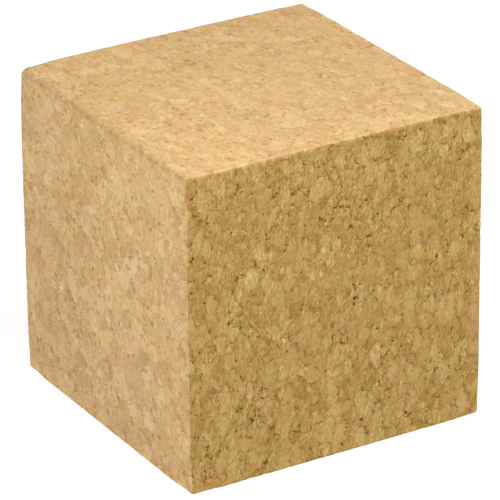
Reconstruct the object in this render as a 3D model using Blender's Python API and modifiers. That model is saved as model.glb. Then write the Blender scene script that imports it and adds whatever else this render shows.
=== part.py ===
"""Sanding block: a plain cube of agglomerated cork, held in the hand.

Frame: origin at the centre of the underside, +Z up, -Y towards the front face.
Units are metres.
"""
import bpy

OBJECT_NAME = "cork_sanding_block"

# Driving dimensions
SIDE = 0.075              # length of each side of the cube, over its flat faces
EDGE_RADIUS = 0.0009      # the eased edges, so that they do not crumble or dig into the palm
EDGE_SEGMENTS = 4         # facets across one eased edge

# Bonded cork: a matt, warm tan surface (linear colour values)
CORK_COLOUR = (0.610, 0.400, 0.170, 1.0)
CORK_ROUGHNESS = 0.85
CORK_SPECULAR = 0.30


def clear_scene():
    """Remove every object that the start-up file holds."""
    for obj in list(bpy.data.objects):
        bpy.data.objects.remove(obj, do_unlink=True)


def new_collection(name):
    """Add a collection to the scene and return it."""
    collection = bpy.data.collections.new(name)
    bpy.context.scene.collection.children.link(collection)
    return collection


def move_to(obj, collection):
    """Keep the object in this one collection only."""
    for holder in list(obj.users_collection):
        holder.objects.unlink(obj)
    collection.objects.link(obj)


def cork_material():
    """A matt bonded-cork finish."""
    material = bpy.data.materials.new("cork")
    material.use_nodes = True
    shader = material.node_tree.nodes["Principled BSDF"]
    shader.inputs["Base Color"].default_value = CORK_COLOUR
    shader.inputs["Roughness"].default_value = CORK_ROUGHNESS
    shader.inputs["Metallic"].default_value = 0.0
    shader.inputs["Specular IOR Level"].default_value = CORK_SPECULAR
    material.diffuse_color = CORK_COLOUR
    return material


def ease_edges(obj, radius, segments):
    """Round every edge of the object."""
    bevel = obj.modifiers.new("eased_edges", "BEVEL")
    bevel.width = radius
    bevel.segments = segments
    bevel.limit_method = "ANGLE"


def make_cork_block(collection, material):
    """The whole block: one piece of pressed cork granules, standing on its underside."""
    bpy.ops.mesh.primitive_cube_add(size=SIDE, location=(0.0, 0.0, SIDE / 2))
    block = bpy.context.active_object
    block.name = "cork_block"
    block.data.name = "cork_block"
    move_to(block, collection)
    ease_edges(block, EDGE_RADIUS, EDGE_SEGMENTS)
    block.data.materials.append(material)
    return block


def main():
    clear_scene()
    collection = new_collection(OBJECT_NAME)
    make_cork_block(collection, cork_material())


main()
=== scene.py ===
"""Looks of the cork sanding block: one cube of bonded cork granules on a pale studio floor.

The block is a finely divided rounded cube. One set of texture formulas, cork_grain(), says where
the granules, crevices and pores are. Geometry Nodes uses it to carve the relief, and the cork
material uses it again for colour, so that each dark crevice lies in its own groove. The dark
colour of the crevices and pores is partly the cork's own and partly painted shade.

The front and back faces are sawn and rough. The other four are sanded smooth. The block was
pressed along X, so the left and right faces show the flat sides of the granules.
"""
import math

import bmesh
import bpy
import numpy as np
from mathutils import Matrix, Vector


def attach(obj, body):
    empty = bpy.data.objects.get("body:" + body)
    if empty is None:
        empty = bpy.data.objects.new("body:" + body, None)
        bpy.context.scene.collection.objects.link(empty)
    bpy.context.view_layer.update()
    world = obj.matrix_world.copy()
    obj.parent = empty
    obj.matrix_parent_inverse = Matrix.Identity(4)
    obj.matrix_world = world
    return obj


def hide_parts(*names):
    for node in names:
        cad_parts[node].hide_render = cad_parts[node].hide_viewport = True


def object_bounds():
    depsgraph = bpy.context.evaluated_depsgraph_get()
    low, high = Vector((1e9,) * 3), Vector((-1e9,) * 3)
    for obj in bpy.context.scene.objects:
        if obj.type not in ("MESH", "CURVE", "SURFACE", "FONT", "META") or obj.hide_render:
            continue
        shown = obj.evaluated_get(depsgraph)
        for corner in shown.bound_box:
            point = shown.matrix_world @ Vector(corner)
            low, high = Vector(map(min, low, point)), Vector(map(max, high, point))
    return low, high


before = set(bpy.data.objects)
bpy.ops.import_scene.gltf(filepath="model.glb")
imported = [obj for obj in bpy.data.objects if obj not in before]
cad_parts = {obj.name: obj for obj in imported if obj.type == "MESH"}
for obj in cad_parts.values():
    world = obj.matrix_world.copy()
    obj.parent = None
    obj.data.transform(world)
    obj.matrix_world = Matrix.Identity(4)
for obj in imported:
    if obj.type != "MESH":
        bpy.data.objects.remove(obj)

MM = 0.001
CAD_LOW, CAD_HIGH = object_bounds()
SIDE = float(CAD_HIGH[0] - CAD_LOW[0])
HALF = SIDE / 2
CENTRE = Vector([(low + high) / 2 for low, high in zip(CAD_LOW, CAD_HIGH)])
NAME = "cork_block_visual"
ATTRIBUTE = "uncut_place" # keeps where each point lay before the relief was carved

# Shape of the block
GRID_CUTS = 287           # cuts along each side of the cube before the relief is carved
EDGE_CROWDING = 0.45      # how much closer the cuts lie near the edges, where the surface curves
CRISP_RADIUS = 0.55 * MM  # rounding of the crisp edges
SOFT_RADIUS = 1.10 * MM   # further rounding along the worn top left edge
CORNER_RADIUS = 0.50 * MM # further rounding at the corners
CORNER_NEAR = 3.0 * MM    # a corner's rounding is full within this distance of it
CORNER_FAR = 9.0 * MM     # and none beyond this distance
CRISP_CORNER = (-HALF, -HALF, HALF) # the near top left corner, which has kept its crisp edges
KEPT_TRIANGLES = 196000   # faces left after thinning out the flat stretches
SHORTEST = 1e-9           # stands in for a length of zero where it divides

# The grain below is in millimetres. A step is written (low, high) or (low, high, bottom, top).
HALF_UNIT = (0.5, 0.5, 0.5)
FLAKE = 4.3                 # pitch of the large flakes
GRANULE = 2.3               # pitch of the small granules between them
BROKEN_SHARE = 0.58         # share of the flakes that are broken into small granules
PRESSED = (1.60, 1.0, 0.95) # how much the pressing shrank the granules along each axis
PRESS_SLANT = -0.10         # the pressing was a little off square: its drift along X per unit of Z
BEND_PITCH = 1.5            # the granules' outlines bend at this pitch
BEND = 2.0                  # by up to half of this
FRAY_PITCH = 0.42           # and are ragged at this pitch
FRAY = 0.62                 # by up to half of this
CREVICE_RIM = (0.17, 0.03)  # a crevice lies along a granule's rim
PARTED_PITCH = 1.6          # granules have parted in some stretches only
PARTED = (0.54, 0.70)
PORE_PITCH = 1.25           # pores are small ragged holes
PORE_SPOT = (0.630, 0.705)
PORE_RIM = (0.55, 0.20)     # mostly where granules meet
LAYER = 0.30                # thickness of a growth layer
LAYER_LENGTH = 1.6          # how far a growth layer runs
LAYER_SQUARENESS = 1.3      # how closely the layers keep square to the pressing
FACE_DEPTH = (HALF - 0.45 * MM, HALF - 0.15 * MM) # where an edge's rounding becomes a face

# Depths of the relief in millimetres, on a sanded face and on a sawn one
SUNK = (0.030, 0.160)       # between the highest granules and the lowest
TILT = (0.030, 0.180)       # slope of a granule's surface
TILT_LEVEL = (0.030, 0.170) # depth at the middle of a tilted granule
DOME = (0.010, 0.040)       # fall of a granule towards its rim
GROOVE = (0.05, 0.20)       # crevices
HOLE = (0.12, 0.30)         # pores
ROUGH = (0.015, 0.060)      # waviness
DOME_RIM = (0.35, 0.0)
ROUGH_PITCH = 0.9
NEAR_EDGE = (0.0, 1.6, 0.45, 1.0)   # the relief is shallower near the block's edges
CHIP_PITCH = 2.4
CHIPS = (0.52, 0.72, 0.0, 0.20)     # small chips
CHIP_REACH = (0.9, 0.1)             # only this near an edge

# Colours of the cork, as display values. They are mixed as such and then made linear, because
# the real cork's tones differ by about equal steps of red, green and blue.
DISPLAY_GAMMA = 2.2
CORK = (0.868, 0.708, 0.492)        # the mean of a sanded face
SAWN_CORK_AND_SHADE = (0.732, 0.584, 0.325)   # the mean of a sawn face: yellower, and darker partly as its own tone and partly as painted shade of its rough surface
DARKENING = (0.90, 1.15, 1.17)      # a step in lightness on a sanded face
SAWN_DARKENING = (0.98, 1.06, 1.24) # and on a sawn one
SAWN_GLOW = (-0.060, 0.050, -0.107) # the palest granules of a sawn face are the yellower ones
GLOW_FROM = 0.02                    # from this lightness up
ORANGE = (0.018, -0.001, -0.019)    # a step from straw towards orange
PINK = (0.014, -0.022, 0.012)       # a step from olive towards pink
BARK = (0.670, 0.450, 0.235)
BOND = (0.622, 0.430, 0.212)
# Crevices and pores are partly darker cork and partly painted shade in their grooves and holes
CREVICE = (0.500, 0.288, 0.065)
SAWN_CREVICE = (0.440, 0.290, 0.070)
STAIN = (0.590, 0.432, 0.240)
PORE = (0.375, 0.205, 0.032)
# the top left edge's browning, partly painted shade
HANDLED_AND_SHADE = (0.730, 0.550, 0.360)
DARKEST = (0.02, 0.02, 0.02)

# Strength of each part of the grain: on the top and underside, on the left and right, and on the
# sawn front and back. Those with two numbers are the same on all four sanded faces.
TONE = (0.093, 0.118, 0.108)    # difference from granule to granule
MOTTLE = (0.170, 0.200, 0.150)  # clouding within a granule
LAYERS = (0.145, 0.110, 0.280)  # growth layers
DUST = (0.010, 0.030, 0.190)    # the finest speckle
PALE = (0.030, 0.065)           # odd pale granules
GLINT = (0.010, 0.035)          # painted highlights along the palest growth lines, partly their own paleness
ORANGES = (1.0, 0.70)           # spread between straw and orange
BONDS = (0.22, 0.36, 0.36)      # thin dark seams between granules
CREVICES = (0.24, 0.28, 0.70)
STREAKS = (0.34, 0.80)          # dark growth lines
STAINS = (0.46, 0.85, 0.50)     # brown patches
PORES = (0.44, 0.38, 1.00)
BARKS = 0.45                    # orange-brown bits of bark, alike on all faces
CLOUDS = 0.03                   # slow drift in lightness, alike on all faces

# Where those parts lie, and how they are spread
BUSY_PITCH = 7.0
BUSY = (0.38, 0.62, 0.45, 1.55) # the fine grain is stronger in some patches than in others
RARE_TONES = 0.6                # how much the granules' tones bunch near the mean
MOTTLE_PITCH = 1.3
DUST_PITCH = 0.20
CLOUD_PITCH = 22.0
PALE_GRANULES = (2.7, 0.90, 0.40) # pitch, share of cells without one, size in pitches
PALE_CHIPS = (1.4, 0.91, 0.36)
BARK_BITS = (2.1, 0.86, 0.36)
INCLUSION_EDGE = 0.7            # share of an inclusion's size within which it is whole
GLINT_LINES = (0.64, 0.76)
HUE_PITCH = 4.2                 # hue drifts slowly
HUE_DRIFT = 1.8
HUE_OWN = 0.70                  # and also differs from granule to granule
BOND_RIM = (0.18, 0.02)
BROKEN_BOND_PITCH = 1.3
BROKEN_BOND = (0.44, 0.62)
STREAK_LINES = (0.36, 0.24)
STREAK_PITCH = 1.7
STREAK_PATCH = (0.48, 0.62)
STAIN_PITCH = 1.5
STAIN_SPOT = (0.59, 0.73)
HANDLED_SHADE_REACH = (1.8, 0.3)      # the top left edge is a little browner, in patches: partly handling, partly painted shade that dims the highlight on its rounding
HANDLED_SHADE_PITCH = 3.0
HANDLED_SHADE_PATCH = (0.35, 0.65, 0.05, 0.45)

# Gloss, and the relief that is finer than the mesh: heights in millimetres, sanded and sawn
ROUGHNESS = (0.88, 0.76)        # from granule to granule
SPECULAR = 0.30
FUZZ_PITCH = 0.22
FUZZ = (0.012, 0.045)
RIDGES = (0.008, 0.055)         # growth lines
SEAM = (0.008, 0.030)
SEAM_RIM = (0.12, 0.0)
LEDGE = (0.008, 0.130)          # steps from granule to granule

# Studio
FLOOR_WIDTH = 80 * SIDE
FLOOR_COLOUR = (0.25, 0.25, 0.25, 1.0)
FLOOR_ROUGHNESS = 0.9
FLOOR_SPECULAR = 0.1
FLOOR_GLOW = 0.90               # a light table, so that hardly any shadow shows
WHITE = (1.0, 1.0, 1.0, 1.0)
WORLD_LIGHT = 0.02
LAMP_WIDTH = 2.9 * SIDE
LAMPS = {                       # place from the block's centre, in sides, and watts
    "left_lamp": ((-2.80, -1.40, 2.80), 0.475),
    "front_lamp": ((2.15, -3.07, 6.15), 2.30),
    "back_lamp": ((2.00, 5.00, 0.30), 0.30),
}

# Camera: where it looks from, its distance and slides in sides of the block, its lens in mm
AZIMUTH = math.radians(-30.71)
ELEVATION = math.radians(24.60)
ROLL = math.radians(-0.62)
DISTANCE = 11.916
SLIDE_RIGHT = 0.0023
SLIDE_UP = -0.0278
LENS = 286.5
SENSOR = 36.0
FARTHEST = 100 * SIDE


class Nodes:
    """Short calls for building a node tree, of shader or geometry nodes alike."""

    def __init__(self, tree):
        self.tree = tree

    def add(self, kind, **settings):
        """A new node of this kind."""
        node = self.tree.nodes.new(kind)
        for name, value in settings.items():
            setattr(node, name, value)
        return node

    def feed(self, socket, value):
        """Connect a socket, or set its constant."""
        if isinstance(value, bpy.types.NodeSocket):
            self.tree.links.new(value, socket)
        else:
            socket.default_value = value

    def math(self, operation, a, b=0.0, clamp=False):
        """The number that this operation makes of one or two others."""
        node = self.add("ShaderNodeMath", operation=operation, use_clamp=clamp)
        self.feed(node.inputs[0], a)
        self.feed(node.inputs[1], b)
        return node.outputs[0]

    def vector(self, operation, a, b=(0.0, 0.0, 0.0)):
        """The same for vectors; b is a number when a is scaled."""
        node = self.add("ShaderNodeVectorMath", operation=operation)
        self.feed(node.inputs[0], a)
        if operation == "SCALE":
            self.feed(node.inputs["Scale"], b)
        else:
            self.feed(node.inputs[1], b)
        return node.outputs["Value" if operation == "DOT_PRODUCT" else "Vector"]

    def split(self, vector):
        """The three parts of a vector."""
        node = self.add("ShaderNodeSeparateXYZ")
        self.feed(node.inputs[0], vector)
        return node.outputs

    def step(self, value, low, high, bottom=0.0, top=1.0):
        """A smooth step from bottom at low to top at high; low may be above high."""
        node = self.add("ShaderNodeMapRange", interpolation_type="SMOOTHSTEP")
        for socket, number in zip(node.inputs, (value, low, high, bottom, top)):
            self.feed(socket, number)
        return node.outputs[0]

    def noise(self, place, pitch, detail=2.0, roughness=0.5, vector=False):
        """Soft noise whose features are about pitch apart, 0 to 1, or a vector of three."""
        node = self.add("ShaderNodeTexNoise")
        self.feed(node.inputs["Vector"], place)
        self.feed(node.inputs["Scale"], 1.0 / pitch)
        self.feed(node.inputs["Detail"], detail)
        self.feed(node.inputs["Roughness"], roughness)
        return node.outputs[1 if vector else 0]

    def cells(self, place, pitch, feature="F1"):
        """Voronoi cells about pitch apart: the node, whose distances are in pitches."""
        node = self.add("ShaderNodeTexVoronoi", feature=feature)
        self.feed(node.inputs["Vector"], place)
        self.feed(node.inputs["Scale"], 1.0 / pitch)
        return node

    def mix(self, factor, a, b):
        """A number between a, at factor 0, and b, at factor 1."""
        node = self.add("ShaderNodeMix", data_type="FLOAT")
        for socket, value in zip((node.inputs[0], node.inputs[2], node.inputs[3]), (factor, a, b)):
            self.feed(socket, value)
        return node.outputs[0]

    def mix_vector(self, factor, a, b):
        """A vector or colour between a, at factor 0, and b, at factor 1."""
        node = self.add("ShaderNodeMix", data_type="VECTOR")
        for socket, value in zip((node.inputs[0], node.inputs[4], node.inputs[5]), (factor, a, b)):
            self.feed(socket, value)
        return node.outputs[1]

    def by_face(self, grain, strengths):
        """A strength that depends on the face: (sanded, sawn), or (top, left and right, sawn)."""
        sanded = strengths[0]
        if len(strengths) == 3:
            sanded = self.mix(grain["skin"], sanded, strengths[1])
        return self.mix(grain["sawn"], sanded, strengths[-1])

    def centred(self, value):
        """A value from 0 to 1, moved to lie around 0."""
        return self.math("SUBTRACT", value, 0.5)


def wandering(make, place, pitch, reach):
    """A vector that wanders around zero with the place."""
    wander = make.vector("SUBTRACT", make.noise(place, pitch, vector=True), HALF_UNIT)
    return make.vector("SCALE", wander, reach)


def on_faces(make, metres, axis):
    """1 on the two faces that look along the axis (0 is X and 1 is Y), 0 on the other four."""
    along = make.math("ABSOLUTE", make.split(metres)[axis])
    return make.step(along, *FACE_DEPTH)


def cork_grain(make, metres):
    """The grain of the cork at a place: a dictionary of sockets, distances in millimetres."""
    place = make.vector("SCALE", metres, 1.0 / MM)
    bent = make.vector("ADD", place, wandering(make, place, BEND_PITCH, BEND))
    bent = make.vector("ADD", bent, wandering(make, place, FRAY_PITCH, FRAY))
    slant = make.math("MULTIPLY", make.split(place)[2], PRESS_SLANT)
    bent = make.vector("ADD", bent, make.vector("SCALE", (1.0, 0.0, 0.0), slant))
    bent = make.vector("MULTIPLY", bent, PRESSED)

    # Large flakes, some whole and some broken into small granules
    flake = make.cells(bent, FLAKE)
    flake_rim = make.cells(bent, FLAKE, "DISTANCE_TO_EDGE")
    granule = make.cells(bent, GRANULE)
    granule_rim = make.cells(bent, GRANULE, "DISTANCE_TO_EDGE")
    luck = make.split(flake.outputs["Color"])[0]
    whole = make.math("GREATER_THAN", luck, BROKEN_SHARE)
    own = make.mix_vector(whole, granule.outputs["Color"], flake.outputs["Color"])
    middle = make.mix_vector(whole, granule.outputs["Position"], flake.outputs["Position"])
    leaning = make.vector("SUBTRACT", own, HALF_UNIT)
    tilt = make.vector("DOT_PRODUCT", make.vector("SUBTRACT", bent, middle), leaning)
    inner_rim = make.math("MULTIPLY", granule_rim.outputs["Distance"], GRANULE)
    inner_rim = make.math("ADD", inner_rim, make.math("MULTIPLY", whole, FLAKE))
    outer_rim = make.math("MULTIPLY", flake_rim.outputs["Distance"], FLAKE)
    rim = make.math("MINIMUM", inner_rim, outer_rim)

    # Crevices lie along the rims, and pores mostly near them
    parted = make.step(make.noise(place, PARTED_PITCH), *PARTED)
    crevice = make.math("MULTIPLY", make.step(rim, *CREVICE_RIM), parted)
    squashed = make.vector("MULTIPLY", place, PRESSED)
    spot = make.noise(squashed, PORE_PITCH, detail=2.5, roughness=0.6)
    pore = make.math("MULTIPLY", make.step(spot, *PORE_SPOT), make.step(rim, *PORE_RIM))

    return {"place": place, "bent": bent, "own": own, "tilt": tilt, "rim": rim,
            "crevice": crevice, "pore": pore, "lines": growth_lines(make, place, leaning),
            "sawn": on_faces(make, metres, 1), "skin": on_faces(make, metres, 0)}


def growth_lines(make, place, leaning):
    """Thin layers in each granule, nearly square to the pressing: 0 in a dark one, 1 in a pale."""
    pressing = (LAYER_SQUARENESS, 0.0, LAYER_SQUARENESS * PRESS_SLANT)
    across = make.vector("NORMALIZE", make.vector("ADD", leaning, pressing))
    layered = make.vector("SCALE", place, 1.0 / LAYER_LENGTH)
    squeeze = make.vector("DOT_PRODUCT", place, across)
    squeeze = make.math("MULTIPLY", squeeze, 1.0 / LAYER - 1.0 / LAYER_LENGTH)
    layered = make.vector("ADD", layered, make.vector("SCALE", across, squeeze))
    return make.noise(layered, 1.0, roughness=0.6)


def edge_distance(make, metres):
    """Distance from the block's nearest edge, for a point on its surface, in millimetres."""
    moved = make.vector("SUBTRACT", metres, tuple(CENTRE))
    inside = make.vector("SUBTRACT", (HALF, HALF, HALF), make.vector("ABSOLUTE", moved))
    x, y, z = make.split(inside)
    total = make.math("ADD", make.math("ADD", x, y), z)
    largest = make.math("MAXIMUM", make.math("MAXIMUM", x, y), z)
    return make.math("MULTIPLY", make.math("SUBTRACT", total, largest), 1.0 / MM)


def divided_cube():
    """A closed cube of fine squares, from -1 to 1."""
    mesh = bpy.data.meshes.new(NAME)
    bm = bmesh.new()
    bmesh.ops.create_cube(bm, size=2.0)
    bmesh.ops.subdivide_edges(bm, edges=bm.edges[:], cuts=GRID_CUTS, use_grid_fill=True)
    bm.to_mesh(mesh)
    bm.free()
    return mesh


def read_points(mesh):
    """The places of the mesh's vertices, one row each."""
    points = np.empty(len(mesh.vertices) * 3)
    mesh.vertices.foreach_get("co", points)
    return points.reshape(-1, 3)


def write_points(mesh, points):
    """Move the mesh's vertices to these places."""
    mesh.vertices.foreach_set("co", points.ravel())
    mesh.update()


def near_corner(distance):
    """A smooth step from 1 at a corner to 0 away from it."""
    share = np.clip((CORNER_FAR - distance) / (CORNER_FAR - CORNER_NEAR), 0, 1)
    return share * share * (3 - 2 * share)


def edge_radius(points):
    """The rounding of the nearest edge, for points around the block's centre."""
    left = np.clip(-points[:, 0] / HALF, 0, 1) ** 2
    upper = np.clip(points[:, 2] / HALF, 0, 1) ** 2
    corner = near_corner(np.linalg.norm(np.abs(points) - HALF, axis=1))
    crisp = near_corner(np.linalg.norm(points - CRISP_CORNER, axis=1))
    wear = SOFT_RADIUS * left * upper + CORNER_RADIUS * corner
    return CRISP_RADIUS + wear * (1 - crisp)


def round_block(mesh):
    """Shape the divided cube into the block, with closer rows at its edges, rounded by wear."""
    points = read_points(mesh)
    crowded = np.sin(points * (math.pi / 2))
    points = HALF * ((1 - EDGE_CROWDING) * points + EDGE_CROWDING * crowded)
    radius = edge_radius(points)
    core = np.clip(points, (radius - HALF)[:, None], (HALF - radius)[:, None])
    out = points - core
    length = np.linalg.norm(out, axis=1)
    points = core + out * (radius / np.maximum(length, SHORTEST))[:, None]
    write_points(mesh, points + np.array(CENTRE))


def relief_depth(make, grain, from_edge):
    """How deep the surface is carved, in millimetres."""
    own = make.split(grain["own"])
    sunk = make.math("MULTIPLY", own[0], make.by_face(grain, SUNK))
    tilt = make.math("MULTIPLY", grain["tilt"], make.by_face(grain, TILT))
    tilt = make.math("ADD", tilt, make.by_face(grain, TILT_LEVEL))
    sunk = make.math("ADD", sunk, make.math("MAXIMUM", tilt, 0.0))
    dome = make.math("MULTIPLY", make.step(grain["rim"], *DOME_RIM), make.by_face(grain, DOME))
    groove = make.math("MULTIPLY", grain["crevice"], make.by_face(grain, GROOVE))
    hole = make.math("MULTIPLY", grain["pore"], make.by_face(grain, HOLE))
    rough = make.noise(grain["place"], ROUGH_PITCH)
    rough = make.math("MULTIPLY", rough, make.by_face(grain, ROUGH))
    depth = make.math("ADD", make.math("ADD", sunk, dome), make.math("ADD", groove, hole))
    depth = make.math("ADD", depth, rough)
    depth = make.math("MULTIPLY", depth, make.step(from_edge, *NEAR_EDGE))
    chipped = make.step(make.noise(grain["place"], CHIP_PITCH), *CHIPS)
    chipped = make.math("MULTIPLY", chipped, make.step(from_edge, *CHIP_REACH))
    return make.math("ADD", depth, chipped)


def relief_tree():
    """Geometry nodes that carve the grain into the surface, always inwards."""
    tree = bpy.data.node_groups.new("cork_relief", "GeometryNodeTree")
    tree.interface.new_socket("Geometry", in_out="INPUT", socket_type="NodeSocketGeometry")
    tree.interface.new_socket("Geometry", in_out="OUTPUT", socket_type="NodeSocketGeometry")
    make = Nodes(tree)
    start = make.add("NodeGroupInput").outputs[0]
    place = make.add("GeometryNodeInputPosition").outputs[0]
    normal = make.add("GeometryNodeInputNormal").outputs[0]

    keep = make.add("GeometryNodeStoreNamedAttribute", data_type="FLOAT_VECTOR", domain="POINT")
    make.feed(keep.inputs["Geometry"], start)
    make.feed(keep.inputs["Name"], ATTRIBUTE)
    make.feed(keep.inputs["Value"], place)

    depth = relief_depth(make, cork_grain(make, place), edge_distance(make, place))
    inwards = make.math("MULTIPLY", depth, -MM)
    carve = make.add("GeometryNodeSetPosition")
    make.feed(carve.inputs["Geometry"], keep.outputs[0])
    make.feed(carve.inputs["Offset"], make.vector("SCALE", normal, inwards))
    finish = make.add("NodeGroupOutput")
    make.feed(finish.inputs[0], carve.outputs["Geometry"])
    return tree


def apply_modifiers(obj):
    """Replace the object's mesh with what its modifiers make of it."""
    graph = bpy.context.evaluated_depsgraph_get()
    mesh = bpy.data.meshes.new_from_object(obj.evaluated_get(graph))
    old = obj.data
    obj.modifiers.clear()
    obj.data = mesh
    bpy.data.meshes.remove(old)


def make_block(material):
    """The carved block: one closed mesh."""
    mesh = divided_cube()
    round_block(mesh)
    block = bpy.data.objects.new(NAME, mesh)
    bpy.context.scene.collection.objects.link(block)
    block.modifiers.new("relief", "NODES").node_group = relief_tree()
    apply_modifiers(block)
    thin = block.modifiers.new("thin_out", "DECIMATE")
    thin.ratio = KEPT_TRIANGLES / (2 * len(block.data.polygons))
    apply_modifiers(block)
    # Thinning out can move a point a few microns beyond the CAD box
    write_points(block.data, np.clip(read_points(block.data), CAD_LOW, CAD_HIGH))
    block.data.name = NAME
    block.data.materials.clear()
    block.data.materials.append(material)
    block.data.shade_smooth()
    return block


def inclusions(make, grain, pitch, missing, size):
    """Scattered odd granules: 1 inside one, 0 elsewhere. Missing is the share of empty cells."""
    cell = make.cells(grain["bent"], pitch)
    chosen = make.math("GREATER_THAN", make.split(cell.outputs["Color"])[0], missing)
    inside = make.step(cell.outputs["Distance"], size, size * INCLUSION_EDGE)
    return make.math("MULTIPLY", chosen, inside)


def lightness(make, grain, busy):
    """How much lighter than the mean the cork is, as a display value, painted highlights included.
    """
    place, lines = grain["place"], grain["lines"]
    # Most granules are near the mean and a few stand out: the cube keeps the range, -0.5 to 0.5
    tone = make.centred(make.split(grain["own"])[0])
    cubed = make.math("POWER", make.math("ABSOLUTE", tone), 3.0)
    cubed = make.math("MULTIPLY", make.math("MULTIPLY", cubed, 4.0), make.math("SIGN", tone))
    tone = make.math("MULTIPLY", make.mix(RARE_TONES, tone, cubed), make.by_face(grain, TONE))
    mottle = make.centred(make.noise(place, MOTTLE_PITCH, detail=3.0, roughness=0.65))
    mottle = make.math("MULTIPLY", mottle, make.by_face(grain, MOTTLE))
    layers = make.math("MULTIPLY", make.centred(lines), make.by_face(grain, LAYERS))
    dust = make.centred(make.noise(place, DUST_PITCH, detail=1.0))
    dust = make.math("MULTIPLY", dust, make.by_face(grain, DUST))
    fine = make.math("MULTIPLY", make.math("ADD", layers, dust), busy)
    cloud = make.math("MULTIPLY", make.centred(make.noise(place, CLOUD_PITCH)), CLOUDS)
    light = make.math("ADD", make.math("ADD", tone, mottle), make.math("ADD", fine, cloud))
    pale = inclusions(make, grain, *PALE_GRANULES)
    pale = make.math("ADD", pale, inclusions(make, grain, *PALE_CHIPS))
    pale = make.math("MULTIPLY", pale, make.by_face(grain, PALE))
    # painted highlight: the palest growth lines are lightened as though their ridges caught the
    # light
    glint = make.math("MULTIPLY", make.step(lines, *GLINT_LINES), make.by_face(grain, GLINT))
    return make.math("ADD", light, make.math("ADD", pale, glint))


def sound_cork(make, grain, light):
    """The colour of the cork itself, from its lightness and its drifting hue."""
    sawn = grain["sawn"]
    glow = make.math("MAXIMUM", make.math("SUBTRACT", light, GLOW_FROM), 0.0)
    glow = make.vector("SCALE", SAWN_GLOW, make.math("MULTIPLY", glow, sawn))
    shade = make.vector("SCALE", make.mix_vector(sawn, DARKENING, SAWN_DARKENING), light)
    # the sawn faces' darker mean is partly painted shade
    colour = make.mix_vector(sawn, CORK, SAWN_CORK_AND_SHADE)
    colour = make.vector("ADD", colour, make.vector("ADD", shade, glow))

    hue = make.vector("SUBTRACT", grain["own"], HALF_UNIT)
    hue = make.vector("SCALE", hue, HUE_OWN)
    hue = make.vector("ADD", hue, wandering(make, grain["place"], HUE_PITCH, HUE_DRIFT))
    hue = make.split(hue)
    orange = make.math("MULTIPLY", hue[1], make.by_face(grain, ORANGES))
    colour = make.vector("ADD", colour, make.vector("SCALE", ORANGE, orange))
    return make.vector("ADD", colour, make.vector("SCALE", PINK, hue[2]))


def darkened(make, grain, busy, colour):
    """The cork's colour with its bark, bonds, dark growth lines and stains, and its crevices and
    pores darkened partly by painted shade.
    """
    place, rim = grain["place"], grain["rim"]
    bark = make.math("MULTIPLY", inclusions(make, grain, *BARK_BITS), BARKS)
    colour = make.mix_vector(bark, colour, BARK)

    bond = make.math("MULTIPLY", make.step(rim, *BOND_RIM), make.by_face(grain, BONDS))
    broken = make.step(make.noise(place, BROKEN_BOND_PITCH, detail=1.0), *BROKEN_BOND)
    colour = make.mix_vector(make.math("MULTIPLY", bond, broken), colour, BOND)

    # painted shade in part: the crevices are darkened as well as carved
    dark = make.math("MULTIPLY", make.by_face(grain, CREVICES), busy)
    dark = make.math("MULTIPLY", grain["crevice"], dark, clamp=True)
    crevice = make.mix_vector(grain["sawn"], CREVICE, SAWN_CREVICE)
    colour = make.mix_vector(dark, colour, crevice)

    patch = make.step(make.noise(place, STREAK_PITCH, detail=1.0), *STREAK_PATCH)
    streak = make.math("MULTIPLY", make.step(grain["lines"], *STREAK_LINES), patch)
    streak = make.math("MULTIPLY", streak, make.by_face(grain, STREAKS))
    colour = make.mix_vector(streak, colour, crevice)

    stain = make.step(make.noise(place, STAIN_PITCH, detail=3.0, roughness=0.65), *STAIN_SPOT)
    stain = make.math("MULTIPLY", stain, make.by_face(grain, STAINS))
    colour = make.mix_vector(stain, colour, STAIN)

    # painted shade in part: the pores are darkened as well as carved
    hole = make.math("MULTIPLY", grain["pore"], make.by_face(grain, PORES))
    return make.mix_vector(hole, colour, PORE)


def handled_and_shade_share(make, grain, metres):
    """How far the cork is browned, partly by the hand and partly as painted shade that dims the
    highlight on the rounding: most along the worn top left edge.
    """
    where = make.split(metres)
    left = make.step(where[0], 0.0, -HALF)
    upper = make.step(where[2], HALF, SIDE)
    near_edge = make.step(edge_distance(make, metres), *HANDLED_SHADE_REACH)
    share = make.math("MULTIPLY", near_edge, make.math("MULTIPLY", left, upper))
    patches = make.step(make.noise(grain["place"], HANDLED_SHADE_PITCH), *HANDLED_SHADE_PATCH)
    return make.math("MULTIPLY", share, patches)


def fine_height(make, grain):
    """The relief that is finer than the mesh, in millimetres."""
    fuzz = make.noise(grain["place"], FUZZ_PITCH, roughness=0.6)
    fuzz = make.math("MULTIPLY", fuzz, make.by_face(grain, FUZZ))
    ridges = make.math("MULTIPLY", grain["lines"], make.by_face(grain, RIDGES))
    seam = make.math("MULTIPLY", make.step(grain["rim"], *SEAM_RIM), make.by_face(grain, SEAM))
    ledge = make.math("MULTIPLY", make.split(grain["own"])[0], make.by_face(grain, LEDGE))
    raised = make.math("ADD", fuzz, ridges)
    return make.math("SUBTRACT", raised, make.math("ADD", seam, ledge))


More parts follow.
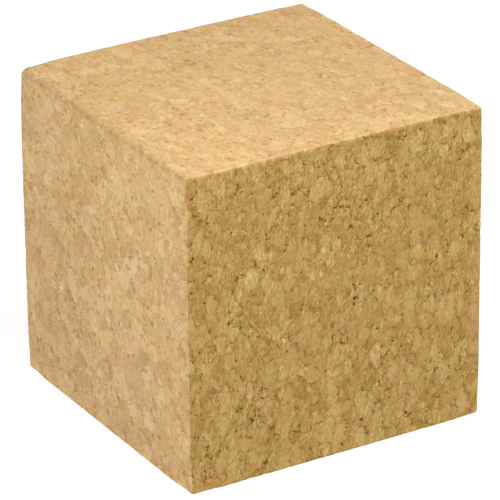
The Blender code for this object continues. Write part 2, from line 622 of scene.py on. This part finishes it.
def cork_material():
    """Bonded cork: tan granules of mixed tone with reddish flecks; crevices, pores, sawn faces and
    the top left edge are darkened partly by painted shade, and the palest growth lines carry
    painted highlights.
    """
    material = bpy.data.materials.new("bonded_cork")
    material.use_nodes = True
    tree = material.node_tree
    make = Nodes(tree)
    shader = tree.nodes["Principled BSDF"]
    metres = make.add("ShaderNodeAttribute", attribute_name=ATTRIBUTE).outputs["Vector"]
    grain = cork_grain(make, metres)

    busy = make.step(make.noise(grain["place"], BUSY_PITCH, detail=1.0), *BUSY)
    colour = sound_cork(make, grain, lightness(make, grain, busy))
    colour = darkened(make, grain, busy, colour)
    # painted shade in part: the worn top left edge is browned where its rounding would catch the
    # light
    colour = make.mix_vector(handled_and_shade_share(make, grain, metres), colour, HANDLED_AND_SHADE)
    colour = make.vector("MAXIMUM", colour, DARKEST)
    linear = make.add("ShaderNodeGamma")
    make.feed(linear.inputs["Color"], colour)
    make.feed(linear.inputs["Gamma"], DISPLAY_GAMMA)
    make.feed(shader.inputs["Base Color"], linear.outputs[0])

    own = make.split(grain["own"])
    make.feed(shader.inputs["Roughness"], make.mix(own[0], *ROUGHNESS))
    make.feed(shader.inputs["Specular IOR Level"], SPECULAR)
    bump = make.add("ShaderNodeBump")
    make.feed(bump.inputs["Strength"], 1.0)
    make.feed(bump.inputs["Distance"], MM)
    make.feed(bump.inputs["Height"], fine_height(make, grain))
    make.feed(shader.inputs["Normal"], bump.outputs[0])
    return material


def floor_material():
    """A pale floor that glows evenly."""
    material = bpy.data.materials.new("pale_floor")
    material.use_nodes = True
    shader = material.node_tree.nodes["Principled BSDF"]
    shader.inputs["Base Color"].default_value = FLOOR_COLOUR
    shader.inputs["Roughness"].default_value = FLOOR_ROUGHNESS
    shader.inputs["Specular IOR Level"].default_value = FLOOR_SPECULAR
    shader.inputs["Emission Color"].default_value = WHITE
    shader.inputs["Emission Strength"].default_value = FLOOR_GLOW
    return material


def make_floor():
    """A plain pale floor, which the block stands on."""
    bpy.ops.mesh.primitive_plane_add(size=FLOOR_WIDTH, location=(0.0, 0.0, CAD_LOW[2]))
    floor = bpy.context.active_object
    floor.name = "studio_floor"
    floor.data.materials.append(floor_material())
    return floor


def light_world():
    """Faint white surroundings."""
    world = bpy.data.worlds.new("studio")
    world.use_nodes = True
    background = world.node_tree.nodes["Background"]
    background.inputs["Color"].default_value = WHITE
    background.inputs["Strength"].default_value = WORLD_LIGHT
    bpy.context.scene.world = world


def add_lamp(name, place, power):
    """A large soft round lamp that faces the block."""
    data = bpy.data.lights.new(name, "AREA")
    data.shape = "DISK"
    data.size = LAMP_WIDTH
    data.energy = power
    lamp = bpy.data.objects.new(name, data)
    bpy.context.scene.collection.objects.link(lamp)
    lamp.location = CENTRE + Vector(place) * SIDE
    lamp.rotation_euler = Vector(place).to_track_quat("Z", "Y").to_euler()


def add_camera():
    """A long lens, looking down on the block past its near upright edge."""
    back = Vector((math.sin(AZIMUTH) * math.cos(ELEVATION),
                   -math.cos(AZIMUTH) * math.cos(ELEVATION),
                   math.sin(ELEVATION)))
    level = Vector((math.cos(AZIMUTH), math.sin(AZIMUTH), 0.0))
    upright = back.cross(level)
    right = level * math.cos(ROLL) + upright * math.sin(ROLL)
    up = upright * math.cos(ROLL) - level * math.sin(ROLL)
    data = bpy.data.cameras.new("camera")
    data.lens = LENS
    data.sensor_width = SENSOR
    data.clip_end = FARTHEST
    camera = bpy.data.objects.new("camera", data)
    bpy.context.scene.collection.objects.link(camera)
    place = CENTRE + SIDE * (back * DISTANCE + right * SLIDE_RIGHT + up * SLIDE_UP)
    turned = Matrix((right, up, back)).transposed().to_4x4()
    camera.matrix_world = Matrix.Translation(place) @ turned
    bpy.context.scene.camera = camera


block = make_block(cork_material())
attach(block, "root")
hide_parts("cork_block")

make_floor()
light_world()
for lamp_name, (lamp_place, lamp_power) in LAMPS.items():
    add_lamp(lamp_name, lamp_place, lamp_power)
add_camera()
bpy.context.scene.view_settings.view_transform = "Standard"
